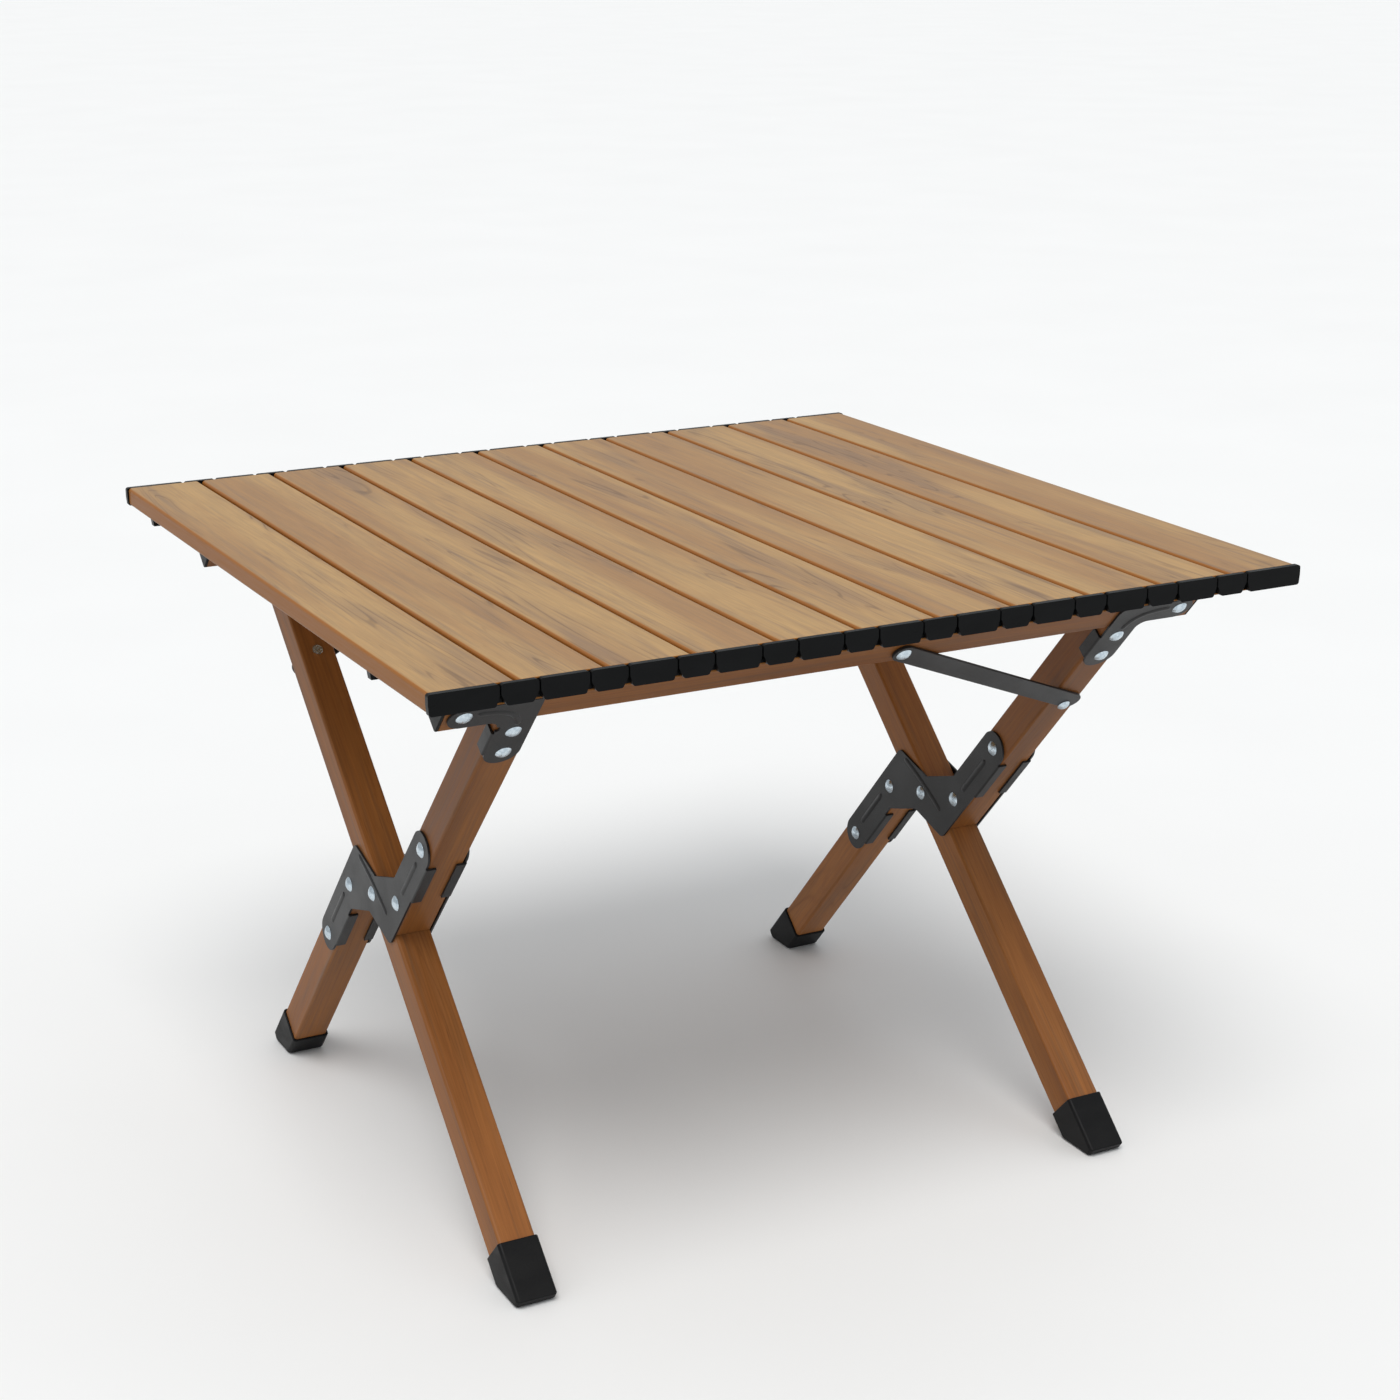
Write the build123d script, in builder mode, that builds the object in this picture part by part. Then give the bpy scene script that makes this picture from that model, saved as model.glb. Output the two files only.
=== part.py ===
from build123d import *
import math
import os

# Folding picnic table: a roll-up slatted top on two rails carried by two scissor leg pairs.
# Frame: origin on the floor under the middle of the top, +X along the rails, +Y to the rear, +Z up.
# Millimetres.

# Overall size
TABLE_HEIGHT = 428.0
TABLE_DEPTH = 577.0
SLAT_PITCH = 55.0
SLAT_COUNT = 11

# Slats of the top: hollow extrusions closed by plastic caps and joined by plastic links
SLAT_THICKNESS = 13.0
SLAT_GAP = 2.5
SLAT_WIDTH = SLAT_PITCH - SLAT_GAP
SLAT_WALL = 1.1
SLAT_CORNER = 2.5
CAP_LENGTH = 4.0
CAP_WIDTH = 30.0
CAP_TAPER = 2.2
END_TAPER = 0.6
CAP_CORNER = 1.8
PLUG_LENGTH = 14.0
PLUG_CLEARANCE = 0.15
LINK_WIDTH = 23.0
LINK_TAPER = 3.5
LINK_CORNER = 2.0
LINK_CLEARANCE = 0.3
PEG_RADIUS = 1.6
PEG_LENGTH = 9.0
PEG_CLEARANCE = 0.08
PEG_OFFSET = 8.0
PEG_DEPTH = 4.0
PEG_BORE = 10.0

# Clips under the two end slats, near the outer edge and behind each rail
CLIP_LENGTH = 14.0
CLIP_FROM_EDGE = 12.0
CLIP_SETBACK = 30.0
CLIP_THICKNESS = 8.0
CLIP_DROP = 8.0
CLIP_CORNER = 1.5
CLIP_DRAFT = 8.0

# Square tube of the rails and legs
TUBE = 25.0
TUBE_CORNER = 2.0
TUBE_WALL = 1.2
REST_GAP = 0.3
JOINT_GAP = 0.1
HALF = TUBE / 2

# Rails
RAIL_LENGTH = 536.0
RAIL_Y = 214.5
RAIL_CAP_FLANGE = 2.0
RAIL_CAP_PLUG = 5.0

# Leg pairs
LEG_X = 218.0
PIVOT_Z = 199.0
LEG_OFFSET = 27.0
LEG_STOP = 12.8
TUBE_CLEAR_OF_FLOOR = 3.5

# Height of the rail's centre: its upper corner lies just under the slats
CORNER_REACH = HALF * math.sqrt(2) - TUBE_CORNER * (math.sqrt(2) - 1)
RAIL_Z = TABLE_HEIGHT - SLAT_THICKNESS - REST_GAP - CORNER_REACH
RAIL_REACH = math.hypot(RAIL_Y, RAIL_Z - PIVOT_Z)
LONG_ANGLE = math.degrees(math.atan2(RAIL_Z - PIVOT_Z, RAIL_Y))
SPLIT_ANGLE = LONG_ANGLE + math.degrees(math.asin(LEG_OFFSET / RAIL_REACH))

# Feet
FOOT_WALL = 1.5
FOOT_HEIGHT_ON_LEG = 34.0
FOOT_TOE = 6.0
FOOT_TOE_RUN = 4.5
FOOT_CORNER = 5.0
FOOT_EDGE = 2.5

# Sheet steel plates, brackets and braces
SHEET = 1.5
BEND = 1.4
PLATE_GAP = 0.2
PLATE_ARM = 107.0
PLATE_INNER_RIVET = 35.5
PLATE_TIP = 1.0
PLATE_WAIST = (15.5, 5.0)
PLATE_ARM_START = 48.0
PLATE_CORNER = 6.0
UPPER_TAB = (61.0, 104.0)
LOWER_TAB = (57.0, 101.0)
TAB_REACH = 5.5
BRACKET_ARM = 37.8
BRACKET_ARM_RISE = 2.5
BRACKET_RIVETS = (22.3, 45.8)
BRACKET_END = 11.0
BRACKET_TOP = 11.5
BRACKET_INSET = 1.5
BRACKET_SQUARE_CORNER = 1.5
BRACKET_ROUND_CORNER = 8.0
BRACKET_CROOK = 7.0
FLANGE_DEPTH = 7.0
FLANGE_TOP = 22.0
FLANGE_BOTTOM = 45.8
NOTCH_RADIUS = 2.6
NOTCH_DROP = 8.5

BRACE_WIDTH = 15.0
BRACE_SHEET = 2.0
BRACE_RIVET_X = 42.7
BRACE_RIVET_DROP = 1.7
BRACE_STUD_DROP = 106.5
BRACE_LIFT = 5.0
BRACE_TIP = 2.5
STUD_RADIUS = 2.6
STUD_CLEARANCE = 0.25
STUD_HEAD = 4.6
WASHER_GAP = 0.1

# Rivets
RIVET_RADIUS = 2.5
RIVET_HEAD = 5.2
RIVET_HEIGHT = 2.4
RIVET_TAIL = 0.8
PIVOT_CLEARANCE = 0.06


def slat_centre(index):
    """X of the middle of slat number index, counted from 1 at the left."""
    return (index - (SLAT_COUNT + 1) / 2) * SLAT_PITCH


def gap_centre(index):
    """X of the gap between slat number index and the next one."""
    return slat_centre(index) + SLAT_PITCH / 2


def save(part, label):
    """Label a finished piece and write it to its own file."""
    part.label = label
    export_step(part, f"parts/{label}.step")


# Directions in the plane of a leg pair: up the long leg, up the split leg
UP_LONG = Vector(0, math.cos(math.radians(LONG_ANGLE)), math.sin(math.radians(LONG_ANGLE)))
UP_SPLIT = Vector(0, -math.cos(math.radians(SPLIT_ANGLE)), math.sin(math.radians(SPLIT_ANGLE)))
OUT_FRONT = Vector(0, -math.sin(math.radians(SPLIT_ANGLE)), -math.cos(math.radians(SPLIT_ANGLE)))
OUT_REAR = Vector(0, math.sin(math.radians(LONG_ANGLE)), -math.cos(math.radians(LONG_ANGLE)))
SPLIT_LENGTH = math.sqrt(RAIL_REACH**2 - LEG_OFFSET**2)

# Sloping faces that each rail shares with the legs below it. Local x runs along the rail,
# local y up the leg from the rail's centre line, and local z outwards.
FRONT_FACE = Plane(
    origin=Vector(0, -RAIL_Y, RAIL_Z) + OUT_FRONT * HALF, x_dir=(1, 0, 0), z_dir=OUT_FRONT
)
REAR_FACE = Plane(
    origin=Vector(0, RAIL_Y, RAIL_Z) + OUT_REAR * HALF, x_dir=(-1, 0, 0), z_dir=OUT_REAR
)


def pivot_point(x):
    """Centre of the scissor pivot of the leg pair at x."""
    return Vector(x, 0, PIVOT_Z)


def half_leg_rivets():
    """Places of the rivets that hold the half legs, in the side plane of a leg pair."""
    return [
        (PLATE_INNER_RIVET, -LEG_OFFSET),
        (PLATE_ARM, -LEG_OFFSET),
        (-PLATE_INNER_RIVET, LEG_OFFSET),
        (-PLATE_ARM, LEG_OFFSET),
    ]


def pair_plane(x):
    """Side plane of a leg pair: local x up the split leg, local y towards its upper side."""
    return Plane(origin=pivot_point(x), x_dir=UP_SPLIT, z_dir=(-1, 0, 0))


def shifted(plane, x, y, z=0.0):
    """The same plane with its origin moved by local distances."""
    return Plane(origin=plane.from_local_coords((x, y, z)), x_dir=plane.x_dir, z_dir=plane.z_dir)


# ---------------------------------------------------------------- slatted top


def slat(index):
    """One hollow slat, open at both ends for its caps."""
    length = TABLE_DEPTH - 2 * CAP_LENGTH
    section = Plane(
        origin=(slat_centre(index), length / 2, TABLE_HEIGHT - SLAT_THICKNESS / 2),
        x_dir=(1, 0, 0),
        z_dir=(0, -1, 0),
    )
    with BuildPart() as slat_part:
        with BuildSketch(section):
            RectangleRounded(SLAT_WIDTH, SLAT_THICKNESS, SLAT_CORNER)
            RectangleRounded(
                SLAT_WIDTH - 2 * SLAT_WALL,
                SLAT_THICKNESS - 2 * SLAT_WALL,
                SLAT_CORNER - SLAT_WALL,
                mode=Mode.SUBTRACT,
            )
        extrude(amount=length)
    return slat_part.part


def end_profile(left, right, taper_left, taper_right, corner):
    """Profile of a cap or link seen from the end: upright, narrower at the foot, rounded."""
    top = SLAT_THICKNESS / 2
    with BuildSketch() as profile:
        with BuildLine():
            Polyline(
                (left, top),
                (right, top),
                (right, 0),
                (right - taper_right, -top),
                (left + taper_left, -top),
                (left, 0),
                close=True,
            )
        make_face()
        corners = [v for v in profile.vertices() if abs(v.Y) > top / 2]
        fillet(corners, radius=corner)
    return profile.sketch


def slat_caps(index):
    """The two plastic caps of one slat, each with a plug inside the slat and bores for pegs."""
    is_first = index == 1
    is_last = index == SLAT_COUNT
    left = -SLAT_PITCH / 2 if is_first else -CAP_WIDTH / 2
    right = SLAT_PITCH / 2 if is_last else CAP_WIDTH / 2
    left_taper = END_TAPER if is_first else CAP_TAPER
    right_taper = END_TAPER if is_last else CAP_TAPER
    rear_outline = end_profile(-right, -left, right_taper, left_taper, CAP_CORNER)
    front_outline = end_profile(left, right, left_taper, right_taper, CAP_CORNER)
    bores = []
    if not is_first:
        bores.append(-SLAT_PITCH / 2 + PEG_OFFSET)
    if not is_last:
        bores.append(SLAT_PITCH / 2 - PEG_OFFSET)
    middle = TABLE_HEIGHT - SLAT_THICKNESS / 2
    plug_size = 2 * (SLAT_WALL + PLUG_CLEARANCE)
    with BuildPart() as caps:
        for side in (-1, 1):
            inner = side * (TABLE_DEPTH / 2 - CAP_LENGTH)
            outward = Plane(
                origin=(slat_centre(index), inner, middle), x_dir=(-side, 0, 0), z_dir=(0, side, 0)
            )
            with BuildSketch(outward):
                add(front_outline if side < 0 else rear_outline)
            extrude(amount=CAP_LENGTH)
            with BuildSketch(outward):
                RectangleRounded(
                    SLAT_WIDTH - plug_size, SLAT_THICKNESS - plug_size, SLAT_CORNER - SLAT_WALL
                )
            extrude(amount=-PLUG_LENGTH)
            for x in bores:
                with BuildSketch(outward):
                    with Locations((-side * x, SLAT_THICKNESS / 2 - PEG_DEPTH)):
                        Circle(PEG_RADIUS + PEG_CLEARANCE)
                extrude(amount=-PEG_BORE, mode=Mode.SUBTRACT)
    return caps.part


def links(index):
    """The front and rear link across one gap, each moulded with its two hinge pegs."""
    outline = end_profile(
        -LINK_WIDTH / 2, LINK_WIDTH / 2, LINK_TAPER, LINK_TAPER, LINK_CORNER
    )
    middle = TABLE_HEIGHT - SLAT_THICKNESS / 2
    with BuildPart() as pair:
        for side in (-1, 1):
            inner = side * (TABLE_DEPTH / 2 - CAP_LENGTH + LINK_CLEARANCE)
            outward = Plane(
                origin=(gap_centre(index), inner, middle), x_dir=(-side, 0, 0), z_dir=(0, side, 0)
            )
            with BuildSketch(outward):
                add(outline)
            extrude(amount=CAP_LENGTH - LINK_CLEARANCE)
            with BuildSketch(outward):
                with Locations(
                    (-PEG_OFFSET, SLAT_THICKNESS / 2 - PEG_DEPTH),
                    (PEG_OFFSET, SLAT_THICKNESS / 2 - PEG_DEPTH),
                ):
                    Circle(PEG_RADIUS)
            extrude(amount=-PEG_LENGTH)
    return pair.part


def rail_clips(index):
    """Two clips under an end slat, one behind each rail, near the slat's outer edge."""
    under = TABLE_HEIGHT - SLAT_THICKNESS
    outward = -1 if index == 1 else 1
    middle = slat_centre(index) + outward * (SLAT_WIDTH / 2 - CLIP_FROM_EDGE)
    with BuildPart() as clips:
        for rail in (-RAIL_Y, RAIL_Y):
            with BuildSketch(Plane.XY.offset(under)):
                with Locations((middle, rail + CLIP_SETBACK + CLIP_THICKNESS / 2)):
                    RectangleRounded(CLIP_LENGTH, CLIP_THICKNESS, CLIP_CORNER)
            extrude(amount=-CLIP_DROP, taper=CLIP_DRAFT)
    return clips.part


# ---------------------------------------------------------------- rails and legs


def square_tube(start, direction, length, holes=()):
    """A square tube from start, with its walls square to X. holes are (plane, radius) pairs."""
    with BuildPart() as tube:
        with BuildSketch(Plane(origin=start, x_dir=(1, 0, 0), z_dir=direction)):
            RectangleRounded(TUBE, TUBE, TUBE_CORNER)
            RectangleRounded(
                TUBE - 2 * TUBE_WALL,
                TUBE - 2 * TUBE_WALL,
                TUBE_CORNER - TUBE_WALL,
                mode=Mode.SUBTRACT,
            )
        extrude(amount=length)
        for plane, radius in holes:
            with BuildSketch(plane):
                Circle(radius)
            extrude(amount=TUBE, both=True, mode=Mode.SUBTRACT)
    return tube.part


def face_rivet_places(face):
    """Local x and y of every rivet and stud on one sloping face, and whether it is on the rail."""
    places = []
    for sign in (-1, 1):
        places.append((sign * (LEG_X + BRACKET_ARM), BRACKET_ARM_RISE, True))
        for drop in BRACKET_RIVETS:
            places.append((sign * LEG_X, -drop, False))
    places.append((BRACE_RIVET_X, -BRACE_RIVET_DROP, True))
    return places


def rail(face):
    """A rail: the tube along X whose outer face is the sloping face, drilled for its rivets."""
    centre = face.origin - face.z_dir * HALF
    holes = [
        (shifted(face, x, y), RIVET_RADIUS) for x, y, on_rail in face_rivet_places(face) if on_rail
    ]
    with BuildPart() as tube:
        section = Plane(origin=centre, x_dir=face.y_dir, z_dir=(1, 0, 0))
        with BuildSketch(section):
            RectangleRounded(TUBE, TUBE, TUBE_CORNER)
            RectangleRounded(
                TUBE - 2 * TUBE_WALL,
                TUBE - 2 * TUBE_WALL,
                TUBE_CORNER - TUBE_WALL,
                mode=Mode.SUBTRACT,
            )
        extrude(amount=RAIL_LENGTH / 2, both=True)
        for plane, radius in holes:
            with BuildSketch(plane):
                Circle(radius)
            extrude(amount=TUBE, both=True, mode=Mode.SUBTRACT)
    return tube.part


def rail_caps(face):
    """The two end caps of a rail: a thin flange with a plug inside the tube."""
    centre = face.origin - face.z_dir * HALF
    plug = TUBE - 2 * (TUBE_WALL + PLUG_CLEARANCE)
    with BuildPart() as caps:
        for side in (-1, 1):
            end = Plane(
                origin=centre + Vector(side * RAIL_LENGTH / 2, 0, 0),
                x_dir=face.y_dir,
                z_dir=(side, 0, 0),
            )
            with BuildSketch(end):
                RectangleRounded(TUBE, TUBE, TUBE_CORNER)
            extrude(amount=RAIL_CAP_FLANGE)
            with BuildSketch(end):
                RectangleRounded(plug, plug, TUBE_CORNER - TUBE_WALL)
            extrude(amount=-RAIL_CAP_PLUG)
    return caps.part


def floor_distance(start, down):
    """Distance from start along the downward direction to the floor."""
    return start.Z / -down.Z


def tube_end(start, down):
    """Length of a leg tube that ends with its lowest corner just above the floor."""
    corner_drop = HALF * math.sqrt(1 - down.Z**2)
    return (start.Z - TUBE_CLEAR_OF_FLOOR - corner_drop) / -down.Z


def split_axis(x, is_upper):
    """Point on the centre line of a half leg beside the pivot, and its direction outwards."""
    side = -LEG_OFFSET if is_upper else LEG_OFFSET
    plane = pair_plane(x)
    point = plane.from_local_coords((0, side, 0))
    return point, (UP_SPLIT if is_upper else UP_SPLIT * -1)


def bracket_holes(face, x):
    """Holes in a leg for the two rivets of its top bracket."""
    return [(shifted(face, x, -drop), RIVET_RADIUS) for drop in BRACKET_RIVETS]


def long_leg(sign):
    """A leg in one piece, from the rear rail through the pivot to the front foot."""
    x = sign * LEG_X
    top = pivot_point(x) + UP_LONG * (RAIL_REACH - HALF - JOINT_GAP)
    down = UP_LONG * -1
    pivot_hole = Plane(origin=pivot_point(x), z_dir=(1, 0, 0))
    holes = bracket_holes(REAR_FACE, -x)
    holes.append((pivot_hole, RIVET_RADIUS + PIVOT_CLEARANCE))
    if sign < 0:
        holes.append((shifted(REAR_FACE, LEG_X, -BRACE_STUD_DROP), STUD_RADIUS))
    return square_tube(top, down, tube_end(top, down), holes)


def upper_leg(sign):
    """The upper half of a split leg, from the front rail down to the long leg's side."""
    x = sign * LEG_X
    beside, up = split_axis(x, True)
    start = beside + up * LEG_STOP
    length = SPLIT_LENGTH - HALF - JOINT_GAP - LEG_STOP
    holes = bracket_holes(FRONT_FACE, x)
    for t in (PLATE_INNER_RIVET, PLATE_ARM):
        holes.append((shifted(pair_plane(x), t, -LEG_OFFSET), RIVET_RADIUS))
    if sign > 0:
        holes.append((shifted(FRONT_FACE, LEG_X, -BRACE_STUD_DROP), STUD_RADIUS))
    return square_tube(start, up, length, holes)


def lower_leg(sign):
    """The lower half of a split leg, from the long leg's side down to the rear foot."""
    x = sign * LEG_X
    beside, down = split_axis(x, False)
    start = beside + down * LEG_STOP
    holes = []
    for t in (PLATE_INNER_RIVET, PLATE_ARM):
        holes.append((shifted(pair_plane(x), -t, LEG_OFFSET), RIVET_RADIUS))
    return square_tube(start, down, tube_end(start, down), holes)


def feet(is_front):
    """Two feet: tapered caps over the leg ends, cut flat on the floor."""
    wide = HALF + FOOT_WALL
    with BuildPart() as pair:
        for sign in (-1, 1):
            x = sign * LEG_X
            if is_front:
                start = pivot_point(x)
                down = UP_LONG * -1
            else:
                start, down = split_axis(x, False)
            side = 1 if down.Y > 0 else -1
            upper = Vector(0, -down.Z, down.Y) * side
            reach = floor_distance(start, down)
            mouth = reach - FOOT_HEIGHT_ON_LEG
            toe_reach = reach + (wide * upper.Z - FOOT_TOE) / -down.Z
            heel_reach = reach - wide * upper.Z / -down.Z
            toe = start + down * toe_reach + upper * wide
            outline = [
                start + down * mouth + upper * wide,
                toe,
                Vector(0, toe.Y - side * FOOT_TOE_RUN, 0),
                start + down * heel_reach - upper * wide,
                start + down * mouth - upper * wide,
            ]
            with BuildSketch(Plane(origin=(x - wide, 0, 0), x_dir=(0, 1, 0), z_dir=(1, 0, 0))):
                with BuildLine():
                    Polyline(*[(point.Y, point.Z) for point in outline], close=True)
                make_face()
            extrude(amount=2 * wide)
            outer_edges = pair.part.edges().filter_by(Axis.X).group_by(Axis.Z)[0]
            fillet(outer_edges.filter_by(lambda e: e.length > wide), radius=FOOT_CORNER)
            leg_edges = pair.part.edges().filter_by(Axis(start, down))
            leg_edges = leg_edges.filter_by_position(Axis.X, x - TUBE, x + TUBE)
            fillet(leg_edges, radius=FOOT_EDGE)
            with BuildSketch(Plane(origin=start + down * mouth, x_dir=(1, 0, 0), z_dir=down)):
                RectangleRounded(TUBE, TUBE, TUBE_CORNER)
            extrude(amount=tube_end(start, down) - mouth, mode=Mode.SUBTRACT)
    return pair.part


# ---------------------------------------------------------------- steel plates


def cross_plate(sign, outer):
    """One plate of a leg pair: it carries both half legs, the pivot and two bent tabs."""
    is_minus_side = (sign < 0) == outer
    base = HALF + PLATE_GAP if is_minus_side else -(HALF + PLATE_GAP + SHEET)
    plane = shifted(pair_plane(sign * LEG_X), 0, 0, base)
    edge = LEG_OFFSET + HALF + PLATE_GAP
    inner = LEG_OFFSET - HALF
    inward = -1 if is_minus_side else 1
    tab_start = shifted(plane, 0, 0, SHEET if is_minus_side else 0)
    tab_length = SHEET + PLATE_GAP + TAB_REACH
    waist_x, waist_y = PLATE_WAIST
    half_outline = [
        (-PLATE_TIP, edge),
        (waist_x, waist_y),
        (PLATE_ARM_START, -inner),
        (PLATE_ARM, -inner),
        (PLATE_ARM, -edge),
    ]
    other_half = [(-x, -y) for x, y in half_outline]
    upper_middle = sum(UPPER_TAB) / 2
    upper_length = UPPER_TAB[1] - UPPER_TAB[0]
    lower_middle = -sum(LOWER_TAB) / 2
    lower_length = LOWER_TAB[1] - LOWER_TAB[0]
    arm_middle = LEG_OFFSET + PLATE_GAP / 2
    with BuildPart() as plate:
        with BuildSketch(plane) as outline:
            with BuildLine():
                Polyline(*half_outline, *other_half, close=True)
            make_face()
            tips = [
                v for v in outline.vertices() if abs(v.Y) > LEG_OFFSET and abs(v.X) < PLATE_ARM / 2
            ]
            fillet(tips, radius=PLATE_CORNER)
            with Locations((PLATE_ARM, -arm_middle), (-PLATE_ARM, arm_middle)):
                Circle((edge - inner) / 2)
            with Locations((0, 0), *half_leg_rivets()):
                Circle(RIVET_RADIUS, mode=Mode.SUBTRACT)
        extrude(amount=SHEET)
        with BuildSketch(tab_start):
            with Locations((upper_middle, -edge - SHEET / 2)):
                Rectangle(upper_length, SHEET)
            with Locations((lower_middle, inner - PLATE_GAP - SHEET / 2)):
                Rectangle(lower_length, SHEET)
        extrude(amount=inward * tab_length)
        with BuildSketch(plane):
            with Locations((lower_middle, inner - PLATE_GAP / 2)):
                Rectangle(lower_length, 2 * PLATE_GAP + SHEET)
        extrude(amount=SHEET)
        for bend in ((upper_middle, -edge - SHEET), (lower_middle, inner - PLATE_GAP - SHEET)):
            corner = tab_start.from_local_coords((*bend, 0))
            fillet(plate.edges().sort_by_distance(corner)[0], radius=BEND)
    return plate.part


def bracket(face, sign):
    """A top bracket: one rivet on the rail, two on the leg, and a flange beside the leg."""
    leg = sign * LEG_X
    arm = leg + sign * BRACKET_ARM
    high, low = BRACKET_RIVETS
    arm_bottom = BRACKET_ARM_RISE - BRACKET_END
    flange_side = leg - HALF
    free_side = leg + HALF - BRACKET_INSET
    inner_side, outer_side = (free_side, flange_side) if sign < 0 else (flange_side, free_side)
    flange_x = flange_side - PLATE_GAP - SHEET / 2
    flange_y = -(FLANGE_TOP + FLANGE_BOTTOM) / 2
    flange_length = FLANGE_BOTTOM - FLANGE_TOP
    with BuildPart() as plate:
        with BuildSketch(shifted(face, 0, 0, JOINT_GAP)) as outline:
            with BuildLine():
                Polyline(
                    (arm, BRACKET_TOP),
                    (inner_side, BRACKET_TOP),
                    (inner_side, -low),
                    (outer_side, -low),
                    (outer_side, arm_bottom),
                    (arm, arm_bottom),
                    close=True,
                )
            make_face()
            elbow = outline.vertices().sort_by_distance((inner_side, BRACKET_TOP))[0]
            fillet(elbow, radius=BRACKET_SQUARE_CORNER if sign < 0 else BRACKET_ROUND_CORNER)
            crook = outline.vertices().sort_by_distance((outer_side, arm_bottom))[0]
            fillet(crook, radius=BRACKET_CROOK)
            with Locations((arm, (BRACKET_TOP + arm_bottom) / 2)):
                Circle((BRACKET_TOP - arm_bottom) / 2)
            with Locations(((free_side + flange_side) / 2, -low)):
                Circle((free_side - flange_side) / 2)
            with Locations((arm, BRACKET_ARM_RISE), (leg, -high), (leg, -low)):
                Circle(RIVET_RADIUS, mode=Mode.SUBTRACT)
            if sign < 0:
                with Locations((flange_side, arm_bottom - NOTCH_DROP)):
                    Circle(NOTCH_RADIUS, mode=Mode.SUBTRACT)
        extrude(amount=SHEET)
        with BuildSketch(shifted(face, 0, 0, JOINT_GAP + SHEET)):
            with Locations((flange_x, flange_y)):
                Rectangle(SHEET, flange_length)
        extrude(amount=-(FLANGE_DEPTH + SHEET))
        with BuildSketch(shifted(face, 0, 0, JOINT_GAP)):
            with Locations((flange_side, flange_y)):
                Rectangle(2 * (SHEET + PLATE_GAP), flange_length)
        extrude(amount=SHEET)
        bend = shifted(face, flange_side - PLATE_GAP - SHEET, flange_y, JOINT_GAP + SHEET).origin
        fillet(plate.edges().sort_by_distance(bend)[0], radius=BEND)
    return plate.part


def brace(face):
    """A flat bar from the rail to the stud on the leg, with a slot that hooks over the stud."""
    rivet = Vector(BRACE_RIVET_X, -BRACE_RIVET_DROP)
    stud = Vector(LEG_X, -BRACE_STUD_DROP)
    run = stud - rivet
    slope = math.degrees(math.atan2(run.Y, run.X)) + math.degrees(math.asin(BRACE_LIFT / run.length))
    length = math.sqrt(run.length**2 - BRACE_LIFT**2)
    along = face.x_dir * math.cos(math.radians(slope)) + face.y_dir * math.sin(math.radians(slope))
    flat = shifted(face, rivet.X, rivet.Y, JOINT_GAP + PLATE_GAP)
    turned = Plane(origin=flat.origin, x_dir=along, z_dir=face.z_dir)
    slot = 2 * (STUD_RADIUS + STUD_CLEARANCE)
    with BuildPart() as bar:
        with BuildSketch(turned):
            with Locations(((length + BRACE_TIP) / 2, 0)):
                SlotOverall(length + BRACE_TIP + BRACE_WIDTH, BRACE_WIDTH)
            Circle(RIVET_RADIUS + PIVOT_CLEARANCE, mode=Mode.SUBTRACT)
            with Locations((length, -BRACE_LIFT)):
                Circle(slot / 2, mode=Mode.SUBTRACT)
            with Locations((length, -BRACE_LIFT - BRACE_WIDTH / 2)):
                Rectangle(slot, BRACE_WIDTH, mode=Mode.SUBTRACT)
        extrude(amount=BRACE_SHEET)
    return bar.part


# ---------------------------------------------------------------- fasteners


def rivet(plane, grip, radius=RIVET_RADIUS, head=RIVET_HEAD, height=RIVET_HEIGHT):
    """A rivet: a domed head on the plane, a shank of length grip behind it and a flat tail."""
    dome = (head**2 + height**2) / (2 * height)
    with BuildPart() as piece:
        with Locations(plane):
            Cylinder(head, height, align=(Align.CENTER, Align.CENTER, Align.MIN))
        with Locations(plane.offset(height - dome)):
            Sphere(dome, mode=Mode.INTERSECT)
        with Locations(plane):
            Cylinder(radius, grip, align=(Align.CENTER, Align.CENTER, Align.MAX))
        with Locations(plane.offset(-grip)):
            Cylinder(head * RIVET_TAIL, height / 2, align=(Align.CENTER, Align.CENTER, Align.MAX))
    return piece.part


def cross_plate_rivets():
    """The rivets that hold the half legs between the cross plates."""
    reach = HALF + PLATE_GAP + SHEET
    return [
        rivet(shifted(pair_plane(sign * LEG_X), t, n, reach), 2 * reach)
        for sign in (-1, 1)
        for t, n in half_leg_rivets()
    ]


def frame_rivets(face, is_front):
    """Every rivet fixed in one frame: brackets, brace pivot and stud, and half legs in front."""
    brace_top = JOINT_GAP + PLATE_GAP + BRACE_SHEET
    pieces = []
    for x, y, _ in face_rivet_places(face):
        lift = brace_top + WASHER_GAP if x == BRACE_RIVET_X else JOINT_GAP + SHEET
        pieces.append(rivet(shifted(face, x, y, lift), TUBE + lift))
    stud_head = brace_top + REST_GAP
    stud_plane = shifted(face, LEG_X, -BRACE_STUD_DROP, stud_head)
    pieces.append(rivet(stud_plane, TUBE + stud_head, radius=STUD_RADIUS, head=STUD_HEAD))
    if is_front:
        pieces.extend(cross_plate_rivets())
    with BuildPart() as rivets:
        add(pieces)
    return rivets.part


def pivot_rivets():
    """The two rivets on which the leg pairs turn, fixed in the plates."""
    reach = HALF + PLATE_GAP + SHEET
    pieces = [rivet(shifted(pair_plane(sign * LEG_X), 0, 0, reach), 2 * reach) for sign in (-1, 1)]
    with BuildPart() as rivets:
        add(pieces)
    return rivets.part


os.makedirs("parts", exist_ok=True)

for number in range(1, SLAT_COUNT + 1):
    save(slat(number), f"slat_{number:02d}")
    save(slat_caps(number), f"slat_caps_{number:02d}")
for number in range(1, SLAT_COUNT):
    save(links(number), f"links_{number:02d}")
save(rail_clips(1), "rail_clips_left")
save(rail_clips(SLAT_COUNT), "rail_clips_right")

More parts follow.
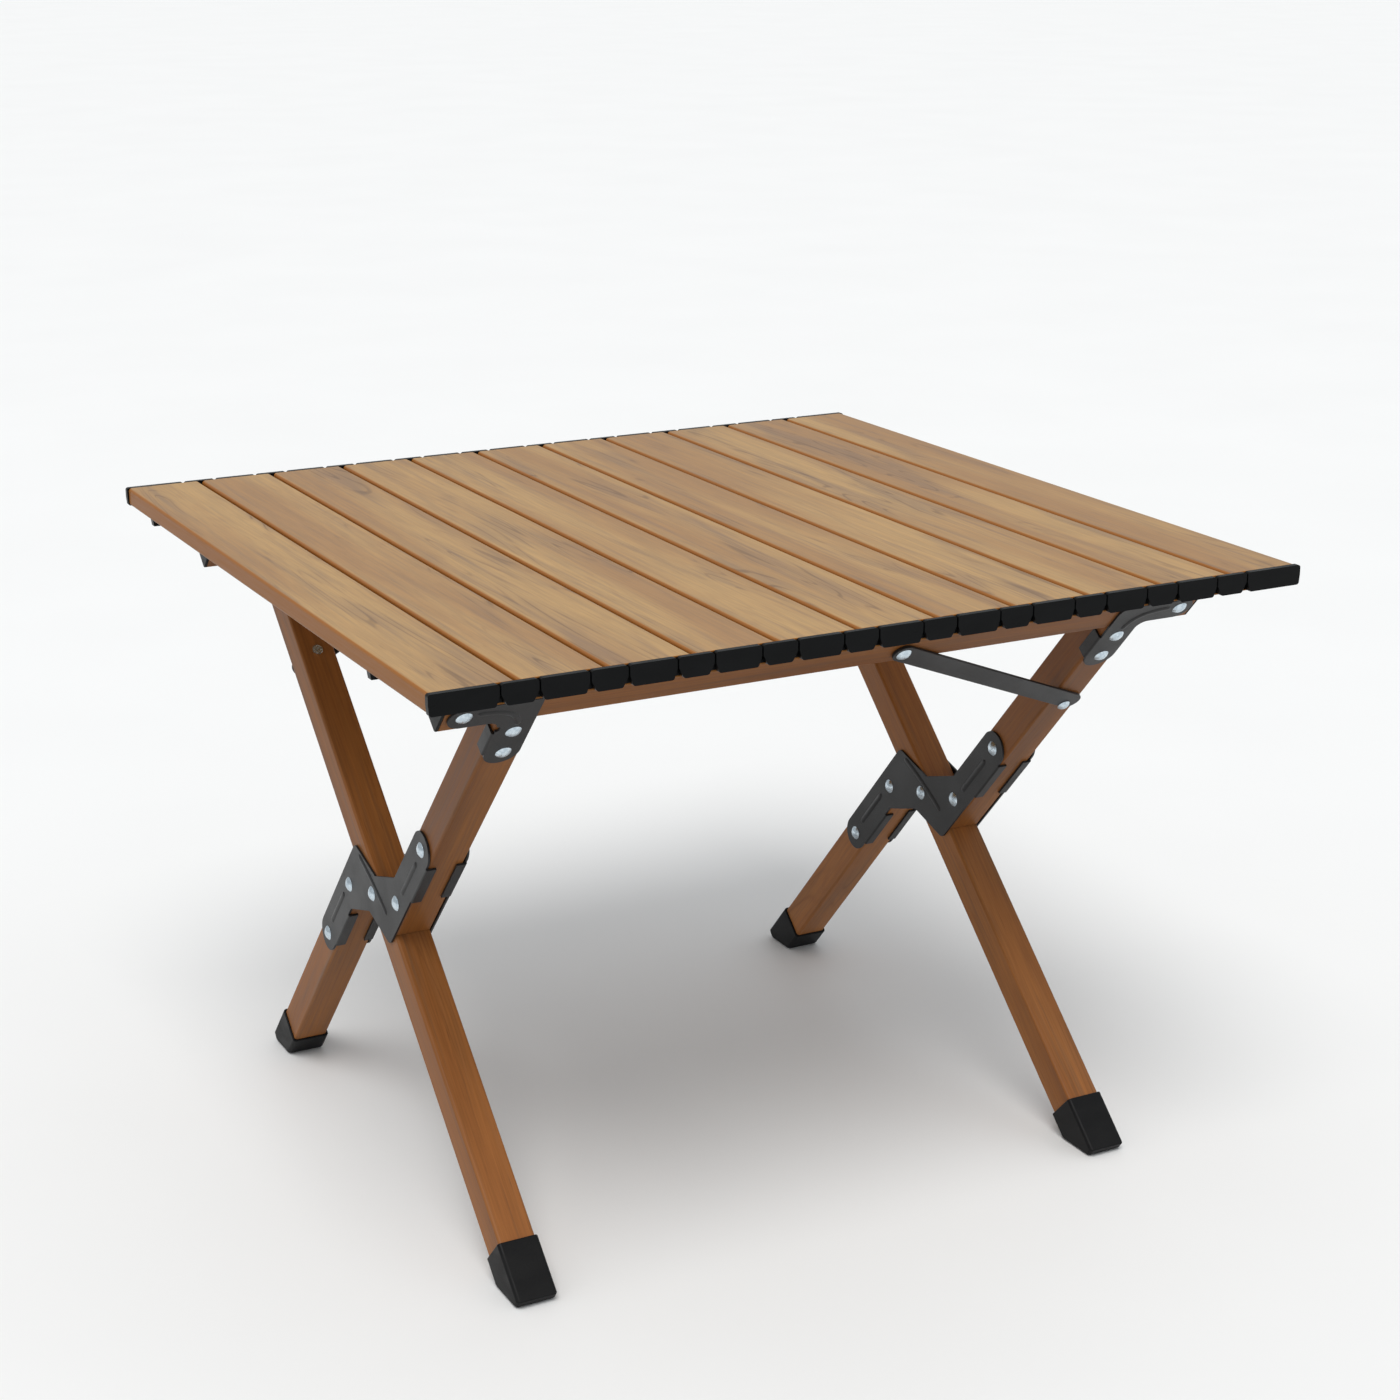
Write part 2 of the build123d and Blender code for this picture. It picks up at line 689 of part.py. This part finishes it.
save(rail(FRONT_FACE), "front_rail")
save(rail(REAR_FACE), "rear_rail")
save(rail_caps(FRONT_FACE), "front_rail_caps")
save(rail_caps(REAR_FACE), "rear_rail_caps")

for sign, side_name in ((-1, "left"), (1, "right")):
    save(long_leg(sign), f"long_leg_{side_name}")
    save(upper_leg(sign), f"upper_leg_{side_name}")
    save(lower_leg(sign), f"lower_leg_{side_name}")
    save(cross_plate(sign, True), f"cross_plate_{side_name}_outer")
    save(cross_plate(sign, False), f"cross_plate_{side_name}_inner")
save(feet(True), "front_feet")
save(feet(False), "rear_feet")

save(bracket(FRONT_FACE, -1), "bracket_front_left")
save(bracket(FRONT_FACE, 1), "bracket_front_right")
save(bracket(REAR_FACE, -1), "bracket_rear_right")
save(bracket(REAR_FACE, 1), "bracket_rear_left")
save(brace(FRONT_FACE), "front_brace")
save(brace(REAR_FACE), "rear_brace")
save(frame_rivets(FRONT_FACE, True), "front_frame_rivets")
save(frame_rivets(REAR_FACE, False), "rear_frame_rivets")
save(pivot_rivets(), "pivot_rivets")

fold_angle = 180 - LONG_ANGLE - SPLIT_ANGLE
print(f"rail centre z {RAIL_Z:.2f}, long leg {LONG_ANGLE:.2f} deg, split leg {SPLIT_ANGLE:.2f} deg")
print(f"fold angle {fold_angle:.2f} deg")
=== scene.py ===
import math

import bmesh
import bpy
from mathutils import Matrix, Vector


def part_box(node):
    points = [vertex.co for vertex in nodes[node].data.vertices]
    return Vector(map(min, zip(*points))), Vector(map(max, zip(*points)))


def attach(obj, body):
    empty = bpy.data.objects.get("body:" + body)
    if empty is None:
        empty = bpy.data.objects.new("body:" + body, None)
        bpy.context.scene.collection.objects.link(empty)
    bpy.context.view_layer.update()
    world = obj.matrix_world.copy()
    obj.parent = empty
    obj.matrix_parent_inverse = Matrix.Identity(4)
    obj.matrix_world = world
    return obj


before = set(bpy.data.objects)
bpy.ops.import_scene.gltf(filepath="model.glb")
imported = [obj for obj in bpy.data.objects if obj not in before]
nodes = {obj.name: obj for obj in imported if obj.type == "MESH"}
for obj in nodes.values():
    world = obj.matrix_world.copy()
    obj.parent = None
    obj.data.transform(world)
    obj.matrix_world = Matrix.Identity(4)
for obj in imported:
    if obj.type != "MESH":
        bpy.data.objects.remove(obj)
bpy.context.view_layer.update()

# ---------------------------------------------------------------- sizes, in metres

# Camera: where it stands, which way it looks in degrees, its lens in millimetres, and what it sees
CAMERA_POSITION = (-0.805, -1.550, 0.847)
CAMERA_YAW = -27.95
CAMERA_PITCH = -17.35
CAMERA_LENS = 67.2
CAMERA_NEAR = 0.01
CAMERA_FAR = 100

# Softened edges of the CAD parts
TUBE_EDGE = 0.0004
SHEET_EDGE = 0.0003
PLASTIC_EDGE = 0.0015
RIVET_EDGE = 0.0002
EDGE_SEGMENTS = 3
CREASE_ANGLE = math.radians(32)
FLAT_ANGLE = math.radians(0.5)
WELD_DISTANCE = 1e-6

# Directions seen from the side: up the split legs, up the long legs, across the split legs, and
# out of the sloping face that each rail shares with the legs below it
SPLIT_ANGLE = math.radians(48.13)
LONG_ANGLE = math.radians(42.83)
UP_SPLIT = Vector((0, -math.cos(SPLIT_ANGLE), math.sin(SPLIT_ANGLE)))
UP_LONG = Vector((0, math.cos(LONG_ANGLE), math.sin(LONG_ANGLE)))
ACROSS_SPLIT = Vector((0, math.sin(SPLIT_ANGLE), math.cos(SPLIT_ANGLE)))
OUT_FRONT = Vector((0, -math.sin(SPLIT_ANGLE), -math.cos(SPLIT_ANGLE)))
OUT_REAR = Vector((0, math.sin(LONG_ANGLE), -math.cos(LONG_ANGLE)))

# Beads pressed in the cross plates, measured from the pivot: (up, across) the split leg. A bead
# runs from its first point to its last and bends towards the one between
PLATE_BEADS = (
    ((0.050, -0.0285), (0.070, -0.0285), (0.093, -0.0285)),
    ((-0.050, 0.0285), (-0.070, 0.0285), (-0.093, 0.0285)),
    ((-0.0005, 0.031), (0.0095, 0.003), (0.0135, -0.024)),
)

# Bead of a top bracket, in from its rail rivet and down to its upper leg rivet: (x, up the face),
# and how far that face stands out from the rail's centre line
BRACKET_BEAD = ((0.2480, 0.0040), (0.2190, 0.0050), (0.2180, -0.0150))
BRACKET_FACE = 0.0141

# Section of a bead, how far its foot sinks into the sheet, and its ends, which shrink to a
# fraction of its size
BEAD_WIDTH = 0.0048
BEAD_HEIGHT = 0.0010
BEAD_SINK = 0.0001
BEAD_TAPER = 0.004
BEAD_END = 0.08
BEAD_STEPS = 40
BEAD_SIDES = 8

# Studio: half the floor's side, the light of the sky against the height of its direction, and
# the softbox
FLOOR_REACH = 30.0
FLOOR_GREYS = ((0.86, 0.86, 0.86, 1), (0.90, 0.90, 0.90, 1))
SKY_LIGHT = {"From Min": -0.1, "From Max": 0.8, "To Min": 0.48, "To Max": 0.70}
SKY_COLOUR = (0.95, 0.98, 1.0, 1)
KEY_DIRECTION = (0.28, 0.42, -1.0)
KEY_STRENGTH = 1.72
KEY_SPREAD = math.radians(34)
KEY_COLOUR = (1, 0.985, 0.96)

# ---------------------------------------------------------------- small helpers


def centre(node):
    """Middle of a CAD node's box."""
    low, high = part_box(node)
    return (low + high) / 2


def named(prefix):
    """The CAD nodes whose names start with prefix, in order."""
    return sorted(name for name in nodes if name.startswith(prefix))


class Shader:
    """A material whose node tree is built by short calls."""

    def __init__(self, name):
        self.material = bpy.data.materials.new(name)
        self.material.use_nodes = True
        self.tree = self.material.node_tree
        self.surface = self.tree.nodes["Principled BSDF"]

    def add(self, kind, inputs, **settings):
        """Adds a node; inputs are sockets to link or values to set."""
        node = self.tree.nodes.new(kind)
        for key, value in settings.items():
            setattr(node, key, value)
        for key, value in inputs.items():
            self.put(node.inputs[key], value)
        return node

    def put(self, socket, value):
        """Links or sets one input."""
        if isinstance(value, bpy.types.NodeSocket):
            self.tree.links.new(value, socket)
        else:
            socket.default_value = value

    def set(self, **inputs):
        """Links or sets inputs of the surface, named with underscores."""
        for key, value in inputs.items():
            self.put(self.surface.inputs[key.replace("_", " ")], value)

    def point(self):
        """The point on the surface, in the row frame at rest."""
        return self.add("ShaderNodeTexCoord", {}).outputs["Object"]

    def scaled(self, vector, scale, offset=(0, 0, 0)):
        """The vector times scale plus offset, axis by axis."""
        inputs = {"Vector": vector, "Scale": scale, "Location": offset}
        return self.add("ShaderNodeMapping", inputs).outputs["Vector"]

    def fibres(self, vector, across, along, offset=(0, 0, 0)):
        """The vector scaled for features per metre across and along the Y direction."""
        return self.scaled(vector, (across, along, across), offset)

    def evenly(self, vector, scale):
        """The vector scaled for as many features per metre each way."""
        return self.scaled(vector, (scale, scale, scale))

    def noise(self, vector, detail=2.0, roughness=0.5, distortion=0.0):
        """Noise from 0 to 1 with features about one unit across."""
        inputs = {
            "Vector": vector,
            "Scale": 1.0,
            "Detail": detail,
            "Roughness": roughness,
            "Distortion": distortion,
        }
        return self.add("ShaderNodeTexNoise", inputs).outputs["Fac"]

    def math(self, operation, a, b=0.0):
        """One arithmetic step."""
        node = self.add("ShaderNodeMath", {0: a, 1: b}, operation=operation)
        return node.outputs[0]

    def ramp(self, value, start, end, low=0.0, high=1.0):
        """A smooth step from low to high as value goes from start to end."""
        inputs = {
            "Value": value,
            "From Min": start,
            "From Max": end,
            "To Min": low,
            "To Max": high,
        }
        node = self.add("ShaderNodeMapRange", inputs, interpolation_type="SMOOTHSTEP")
        return node.outputs["Result"]

    def mix(self, factor, a, b, blend="MIX"):
        """Colour a with colour b over it."""
        node = self.add("ShaderNodeMix", {}, data_type="RGBA", blend_type=blend)
        self.put(node.inputs["Factor"], factor)
        self.put(node.inputs[6], a)
        self.put(node.inputs[7], b)
        return node.outputs[2]

    def grey(self, value):
        """A value as a colour."""
        inputs = {"Red": value, "Green": value, "Blue": value}
        return self.add("ShaderNodeCombineColor", inputs).outputs["Color"]

    def bump(self, height, distance, strength):
        """A normal bent by a height from 0 to 1 over distance."""
        inputs = {"Height": height, "Distance": distance, "Strength": strength}
        return self.add("ShaderNodeBump", inputs).outputs["Normal"]


def srgb(red, green, blue):
    """A colour given as it looks on screen, 0 to 255, for a shader."""

    def linear(level):
        level = level / 255
        return level / 12.92 if level < 0.04045 else ((level + 0.055) / 1.055) ** 2.4

    return (linear(red), linear(green), linear(blue), 1.0)


# ---------------------------------------------------------------- materials

SLAT_PALETTE = {
    "light": srgb(182, 146, 98),
    "deep": srgb(162, 124, 84),
    "ash": srgb(134, 109, 89),
    "vein": srgb(88, 70, 56),
    # edge: painted highlight and side shade for the rounded edges and sides of the slats
    "edge": srgb(156, 96, 32),
}
FRAME_PALETTE = {
    "light": srgb(166, 106, 54),
    "deep": srgb(142, 87, 42),
    "ash": srgb(112, 84, 60),
    "vein": srgb(84, 54, 32),
}
CAP_BLACKS = (srgb(13, 14, 15), srgb(20, 21, 22))
FOOT_BLACKS = (srgb(20, 20, 21), srgb(28, 28, 28))
STEEL_GREYS = (srgb(35, 35, 36), srgb(46, 45, 45))
STEEL_FLECK = srgb(120, 120, 122)
ZINC_GREYS = (srgb(208, 220, 228), srgb(186, 200, 210))

# The two wood prints: strength of the patches and veins, strength of the painted edge highlight
# and side shade, and gloss
SLAT_PRINT = {"palette": SLAT_PALETTE, "figure": 1.0, "painted_edge_light": 0.95, "specular": 0.30}
FRAME_PRINT = {"palette": FRAME_PALETTE, "figure": 0.5, "painted_edge_light": 0, "specular": 0.22}

# How far the print moves from one seed to the next
SEED_STEP = (0.37, 0.91, 0.53)


def wood_print(name, grain, seed, palette, figure, painted_edge_light, specular):
    """Satin wood-grain film on aluminium, with its grain along the given direction."""
    s = Shader(name)
    turn = Vector(grain).rotation_difference(Vector((0, 1, 0))).to_euler()
    shift = [seed * step for step in SEED_STEP]
    inputs = {"Vector": s.point(), "Rotation": turn, "Location": shift}
    along = s.add("ShaderNodeMapping", inputs).outputs["Vector"]

    # Broad drift between the two main tones
    broad = s.noise(s.fibres(along, 22, 1.8), detail=2)
    colour = s.mix(s.ramp(broad, 0.36, 0.64), palette["light"], palette["deep"])

    # Greyish brown patches, a few centimetres long
    patches = s.noise(s.fibres(along, 42, 4.5, (4, 4, 4)), detail=3, distortion=0.4)
    patch = s.ramp(patches, 0.50, 0.72)
    colour = s.mix(s.math("MULTIPLY", patch, 0.60 * figure), colour, palette["ash"])

    # Growth rings: fine dark lines inside the patches, and faint ones everywhere
    bend = s.noise(s.fibres(along, 26, 1.7, (9, 2, 7)), detail=2, distortion=0.5)
    rings = s.math("SINE", s.math("MULTIPLY", bend, 150.0))
    fine = s.ramp(rings, 0.72, 1.0)
    veins = s.math("MULTIPLY", fine, s.ramp(patches, 0.52, 0.64))
    colour = s.mix(s.math("MULTIPLY", veins, 0.55 * figure), colour, palette["vein"])
    faint = s.math("MULTIPLY", s.ramp(rings, -0.2, 1.0), 0.20)
    colour = s.mix(faint, colour, palette["deep"])

    # Streaks, fibres and dark pores, each finer than the last
    streak = s.noise(s.fibres(along, 170, 5, (1, 8, 3)), detail=3, roughness=0.65)
    colour = s.mix(s.ramp(streak, 0.50, 0.78, 0.0, 0.55), colour, palette["ash"])
    fibre = s.noise(s.fibres(along, 640, 16), detail=3, roughness=0.65)
    shade = s.grey(s.ramp(fibre, 0.25, 0.75, 0.84, 1.10))
    colour = s.mix(1.0, colour, shade, blend="MULTIPLY")
    pores = s.noise(s.fibres(along, 1500, 45), detail=1)
    colour = s.mix(s.ramp(pores, 0.66, 0.80, 0.0, 0.35), colour, palette["vein"])

    # Painted highlight and side shade: an orange film colour on the rounded edges and sides,
    # chosen by which way the surface faces
    if painted_edge_light:
        coordinates = s.add("ShaderNodeTexCoord", {}).outputs["Normal"]
        up = s.add("ShaderNodeSeparateXYZ", {"Vector": coordinates}).outputs["Z"]
        side = s.ramp(s.math("ABSOLUTE", up), 0.985, 0.72)
        colour = s.mix(s.math("MULTIPLY", side, painted_edge_light), colour, palette["edge"])
    s.set(Base_Color=colour, Roughness=s.ramp(fibre, 0.2, 0.8, 0.42, 0.54))
    s.set(Specular_IOR_Level=specular)
    s.set(Normal=s.bump(fibre, distance=0.00010, strength=0.5))
    return s.material


def moulded_plastic(name, blacks, rough, texture, specular):
    """Black moulded plastic with a fine spark-eroded grain and faint flow marks."""
    s = Shader(name)
    point = s.point()
    grain = s.noise(s.evenly(point, texture), detail=3, roughness=0.6)
    flow = s.noise(s.scaled(point, (35, 35, 80)), detail=3)
    worn = s.mix(s.ramp(flow, 0.35, 0.7, 0.0, 0.6), blacks[0], blacks[1])
    speck = s.grey(s.ramp(grain, 0.3, 0.7, 0.88, 1.12))
    s.set(Base_Color=s.mix(1.0, worn, speck, blend="MULTIPLY"))
    s.set(Roughness=s.ramp(flow, 0.3, 0.7, rough - 0.05, rough + 0.08))
    s.set(Specular_IOR_Level=specular)
    s.set(Normal=s.bump(grain, distance=0.00008, strength=0.6))
    return s.material


def coated_steel(name):
    """Grey powder-coated sheet steel: orange-peel surface with fine metallic fleck."""
    s = Shader(name)
    point = s.point()
    peel = s.noise(s.evenly(point, 1100), detail=2)
    fleck = s.noise(s.evenly(point, 5200), detail=1)
    cloud = s.noise(s.evenly(point, 28), detail=3)
    base = s.mix(s.ramp(cloud, 0.3, 0.7, 0.0, 0.7), STEEL_GREYS[0], STEEL_GREYS[1])
    base = s.mix(s.ramp(fleck, 0.62, 0.75, 0.0, 0.30), base, STEEL_FLECK)
    s.set(Base_Color=base, Roughness=s.ramp(cloud, 0.3, 0.7, 0.38, 0.50))
    s.set(Specular_IOR_Level=0.32)
    s.set(Normal=s.bump(peel, distance=0.00006, strength=0.8))
    return s.material


def zinc(name):
    """Bright zinc-plated rivet steel, a little clouded and scuffed."""
    s = Shader(name)
    point = s.point()
    cloud = s.noise(s.evenly(point, 420), detail=3)
    scuff = s.noise(s.fibres(point, 2600, 600), detail=2)
    base = s.mix(s.ramp(cloud, 0.35, 0.65), ZINC_GREYS[0], ZINC_GREYS[1])
    s.set(Base_Color=base, Metallic=1.0, Roughness=s.ramp(cloud, 0.3, 0.7, 0.24, 0.34))
    s.set(Normal=s.bump(scuff, distance=0.00001, strength=0.4))
    return s.material


# ---------------------------------------------------------------- CAD parts that stay


def soften(obj, width, join_flats):
    """Rounds the sharp edges of a CAD part with modifiers, which leave its mesh alone."""
    weld = obj.modifiers.new("weld", "WELD")
    weld.merge_threshold = WELD_DISTANCE
    if join_flats:
        flat = obj.modifiers.new("flat", "DECIMATE")
        flat.decimate_type = "DISSOLVE"
        flat.angle_limit = FLAT_ANGLE
    bevel = obj.modifiers.new("bevel", "BEVEL")
    bevel.width = width
    bevel.segments = EDGE_SEGMENTS
    bevel.limit_method = "ANGLE"
    bevel.angle_limit = CREASE_ANGLE
    bevel.harden_normals = False
    normal = obj.modifiers.new("normal", "WEIGHTED_NORMAL")
    normal.keep_sharp = False
    for polygon in obj.data.polygons:
        polygon.use_smooth = True


def paint(names, material, edge, join_flats=True):
    """Gives CAD nodes a material and softened edges."""
    for name in names:
        obj = nodes[name]
        obj.data.materials.clear()
        obj.data.materials.append(material)
        soften(obj, edge, join_flats)


def paint_wood(name, grain, seed, look):
    """Gives a slat, rail or leg a wood print of its own."""
    paint([name], wood_print(f"wood_{name}", grain, seed, **look), TUBE_EDGE)


def leg_direction(rail, leg):
    """Along a leg: from its middle to its rail, in the plane of its leg pair."""
    along = centre(rail) - centre(leg)
    along.x = 0
    return along.normalized()


cap_plastic = moulded_plastic("cap_plastic", CAP_BLACKS, rough=0.32, texture=1500, specular=0.10)
foot_rubber = moulded_plastic("foot_rubber", FOOT_BLACKS, rough=0.46, texture=1200, specular=0.13)
plate_coat = coated_steel("plate_coat")
rivet_zinc = zinc("rivet_zinc")

slats = [name for name in named("slat_") if "caps" not in name]
for number, name in enumerate(slats, start=1):
    paint_wood(name, (0, 1, 0), number, SLAT_PRINT)
for name, seed in (("front_rail", 10), ("rear_rail", 9)):
    paint_wood(name, (1, 0, 0), seed, FRAME_PRINT)
for side, seed in (("left", 29), ("right", 42)):
    along = leg_direction("rear_rail", f"long_leg_{side}")
    paint_wood(f"long_leg_{side}", along, seed, FRAME_PRINT)
    along = leg_direction("front_rail", f"upper_leg_{side}")
    for half in ("upper", "lower"):
        paint_wood(f"{half}_leg_{side}", along, seed + 1, FRAME_PRINT)
paint(named("slat_caps_") + named("links_"), cap_plastic, PLASTIC_EDGE)
paint(named("rail_clips_") + ["front_rail_caps", "rear_rail_caps"], cap_plastic, PLASTIC_EDGE)
paint(["front_feet", "rear_feet"], foot_rubber, PLASTIC_EDGE)
paint(named("cross_plate_") + named("bracket_"), plate_coat, SHEET_EDGE)
paint(["front_brace", "rear_brace"], plate_coat, SHEET_EDGE)
rivets = ["front_frame_rivets", "rear_frame_rivets", "pivot_rivets"]
paint(rivets, rivet_zinc, RIVET_EDGE, join_flats=False)

# ---------------------------------------------------------------- pressed beads


def bead_stations(path):
    """Points, directions and distances gone along the curve of a bead."""
    start, middle, end = path
    stations = []
    gone = 0
    last = start
    for step in range(BEAD_STEPS + 1):
        u = step / BEAD_STEPS
        point = start * (1 - u) ** 2 + middle * (2 * u * (1 - u)) + end * u**2
        along = ((middle - start) * (1 - u) + (end - middle) * u).normalized()
        gone += (point - last).length
        last = point
        stations.append((point, along, gone))
    return stations


def bead_section(point, along, outward, size):
    """Corners of a bead's section: an arch over the sheet, from one side to the other."""
    aside = along.cross(outward)
    corners = []
    for turn in range(BEAD_SIDES + 1):
        angle = math.pi * turn / BEAD_SIDES
        across = aside * (BEAD_WIDTH / 2 * math.cos(angle) * size)
        lift = outward * (BEAD_HEIGHT * math.sin(angle) ** 2 * size - BEAD_SINK)
        corners.append(point + across + lift)
    return corners


def bead(name, body, face, outward, path):
    """A stiffening bead pressed in sheet steel: a low ridge with rounded ends on a flat face."""
    stations = bead_stations(path)
    length = stations[-1][2]
    bm = bmesh.new()
    rings = []
    for point, along, gone in stations:
        near_end = max(0, min(gone, length - gone, BEAD_TAPER)) / BEAD_TAPER
        size = max(math.sqrt(near_end * (2 - near_end)), BEAD_END)
        corners = bead_section(point + face, along, outward, size)
        rings.append([bm.verts.new(corner) for corner in corners])
    for ring, following in zip(rings, rings[1:]):
        for i in range(len(ring)):
            j = (i + 1) % len(ring)
            bm.faces.new((ring[i], ring[j], following[j], following[i]))
    bm.faces.new(rings[0])
    bm.faces.new(rings[-1])
    bmesh.ops.recalc_face_normals(bm, faces=bm.faces)
    mesh = bpy.data.meshes.new(name)
    bm.to_mesh(mesh)
    bm.free()
    for polygon in mesh.polygons:
        polygon.use_smooth = True
    mesh.materials.append(plate_coat)
    piece = bpy.data.objects.new(name, mesh)
    bpy.context.scene.collection.objects.link(piece)
    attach(piece, body)


def plate_beads():
    """Beads on the side of each cross plate that faces away from its leg."""
    pivot = centre("pivot_rivets")
    for node in named("cross_plate_"):
        low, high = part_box(node)
        is_minus_side = ("left" in node) == ("outer" in node)
        outward = Vector((-1, 0, 0)) if is_minus_side else Vector((1, 0, 0))
        face = Vector((low.x if is_minus_side else high.x, pivot.y, pivot.z))
        for number, path in enumerate(PLATE_BEADS, start=1):
            points = [UP_SPLIT * up + ACROSS_SPLIT * across for up, across in path]
            bead(f"bead_{node}_{number}", "front_frame", face, outward, points)


def bracket_beads():
    """A bead on the outer face of each top bracket."""
    for end, up_leg, outward in (("front", UP_SPLIT, OUT_FRONT), ("rear", UP_LONG, OUT_REAR)):
        face = centre(f"{end}_rail") + outward * BRACKET_FACE
        for node in named(f"bracket_{end}_"):
            side = 1 if centre(node).x > 0 else -1
            points = [Vector((side * x, 0, 0)) + up_leg * up for x, up in BRACKET_BEAD]
            bead(f"bead_{node}", f"{end}_frame", face, outward, points)


plate_beads()
bracket_beads()

# ---------------------------------------------------------------- studio


def pale_floor():
    """A wide pale floor that takes shadows and sends no diffuse light up at the table."""
    mesh = bpy.data.meshes.new("floor")
    reach = FLOOR_REACH
    corners = [(-reach, -reach, 0), (reach, -reach, 0), (reach, reach, 0), (-reach, reach, 0)]
    mesh.from_pydata(corners, [], [(0, 1, 2, 3)])
    floor = bpy.data.objects.new("floor", mesh)
    bpy.context.scene.collection.objects.link(floor)
    s = Shader("floor")
    mottled = s.noise(s.evenly(s.point(), 3), detail=3)
    s.set(Base_Color=s.mix(mottled, FLOOR_GREYS[0], FLOOR_GREYS[1]), Roughness=0.6)
    mesh.materials.append(s.material)
    floor.visible_diffuse = False


def sky():
    """Soft light from all round, stronger from above, with a white backdrop behind the table."""
    world = bpy.data.worlds.new("studio")
    bpy.context.scene.world = world
    world.use_nodes = True
    tree = world.node_tree
    background = tree.nodes["Background"]
    direction = tree.nodes.new("ShaderNodeTexCoord")
    height = tree.nodes.new("ShaderNodeSeparateXYZ")
    tree.links.new(direction.outputs["Generated"], height.inputs["Vector"])
    light = tree.nodes.new("ShaderNodeMapRange")
    light.interpolation_type = "SMOOTHSTEP"
    tree.links.new(height.outputs["Z"], light.inputs["Value"])
    for key, value in SKY_LIGHT.items():
        light.inputs[key].default_value = value
    backdrop = tree.nodes.new("ShaderNodeLightPath")
    brighter = tree.nodes.new("ShaderNodeMath")
    brighter.operation = "MAXIMUM"
    tree.links.new(light.outputs["Result"], brighter.inputs[0])
    tree.links.new(backdrop.outputs["Is Camera Ray"], brighter.inputs[1])
    tree.links.new(brighter.outputs["Value"], background.inputs["Strength"])
    background.inputs["Color"].default_value = SKY_COLOUR


def softbox():
    """A large distant softbox: even light from one side with soft shadows."""
    light = bpy.data.lights.new("key", "SUN")
    light.energy = KEY_STRENGTH
    light.angle = KEY_SPREAD
    light.color = KEY_COLOUR
    lamp = bpy.data.objects.new("key", light)
    lamp.rotation_mode = "QUATERNION"
    lamp.rotation_quaternion = Vector(KEY_DIRECTION).to_track_quat("-Z", "Y")
    bpy.context.scene.collection.objects.link(lamp)


def camera():
    """The camera at the picture's angle."""
    data = bpy.data.cameras.new("camera")
    data.lens = CAMERA_LENS
    data.clip_start = CAMERA_NEAR
    data.clip_end = CAMERA_FAR
    eye = bpy.data.objects.new("camera", data)
    eye.location = CAMERA_POSITION
    eye.rotation_euler = (math.radians(90 + CAMERA_PITCH), 0, math.radians(CAMERA_YAW))
    bpy.context.scene.collection.objects.link(eye)
    bpy.context.scene.camera = eye


pale_floor()
sky()
softbox()
camera()
bpy.context.scene.view_settings.view_transform = "Standard"
